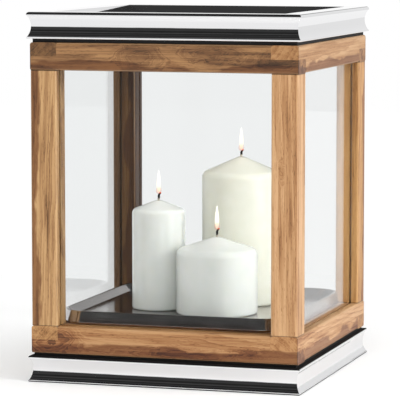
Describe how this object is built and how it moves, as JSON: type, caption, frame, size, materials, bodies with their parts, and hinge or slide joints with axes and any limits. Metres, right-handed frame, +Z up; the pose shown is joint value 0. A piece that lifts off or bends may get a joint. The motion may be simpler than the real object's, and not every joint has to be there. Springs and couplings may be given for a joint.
{
  "type": "candle lantern",
  "caption": "Square wooden candle lantern with polished concave metal rims, glass sides, an open top and a steel tray that carries pillar candles.",
  "frame": {"origin": "middle of the underside of the bottom rim", "axes": "+Z up, +X to the right, -Y towards the front"},
  "size_m": [0.337, 0.337, 0.4431],
  "materials": {
    "post_teak": "planed and oiled, open grain",
    "rail_teak": "planed and oiled, open grain",
    "polished_rim": "mirror polished",
    "key_aluminium": "mill finish",
    "screw_steel": "zinc plated",
    "dowel_beech": "fluted beech",
    "pane_glass": "clear float glass, ground edges",
    "tray_steel": "fine brushed",
    "white_wax": "smooth paraffin wax",
    "ivory_wax": "smooth paraffin wax",
    "wick_cotton": "braided cotton, charred tip"
  },
  "bodies": {
    "cage": {"post_front_left": "post_teak", "post_front_right": "post_teak", "post_rear_left": "post_teak", "post_rear_right": "post_teak", "bottom_rail_front": "rail_teak", "bottom_rail_rear": "rail_teak", "bottom_rail_left": "rail_teak", "bottom_rail_right": "rail_teak", "top_rail_front": "rail_teak", "top_rail_rear": "rail_teak", "top_rail_left": "rail_teak", "top_rail_right": "rail_teak", "bottom_rim_front": "polished_rim", "bottom_rim_rear": "polished_rim", "bottom_rim_left": "polished_rim", "bottom_rim_right": "polished_rim", "top_rim_front": "polished_rim", "top_rim_rear": "polished_rim", "top_rim_left": "polished_rim", "top_rim_right": "polished_rim", "bottom_rim_corner_keys": "key_aluminium", "top_rim_corner_keys": "key_aluminium", "bottom_rim_screws": "screw_steel", "top_rim_screws": "screw_steel", "bottom_corner_dowels": "dowel_beech", "top_corner_dowels": "dowel_beech", "glass_front": "pane_glass", "glass_rear": "pane_glass", "glass_left": "pane_glass", "glass_right": "pane_glass"},
    "tray": {"candle_tray": "tray_steel"},
    "slim_candle": {"candle_slim": "white_wax", "wick_slim": "wick_cotton"},
    "short_candle": {"candle_short": "white_wax", "wick_short": "wick_cotton"},
    "tall_candle": {"candle_tall": "ivory_wax", "wick_tall": "wick_cotton"}
  },
  "joints": [
    {"name": "tray_lift", "type": "slide", "parent": "cage", "child": "tray", "axis": [0, 0, 1], "range_m": [0, 0.285]},
    {"name": "slim_candle_lift", "type": "slide", "parent": "tray", "child": "slim_candle", "axis": [0, 0, 1], "range_m": [0, 0.39]},
    {"name": "short_candle_lift", "type": "slide", "parent": "tray", "child": "short_candle", "axis": [0, 0, 1], "range_m": [0, 0.39]},
    {"name": "tall_candle_lift", "type": "slide", "parent": "tray", "child": "tall_candle", "axis": [0, 0, 1], "range_m": [0, 0.39]}
  ]
}
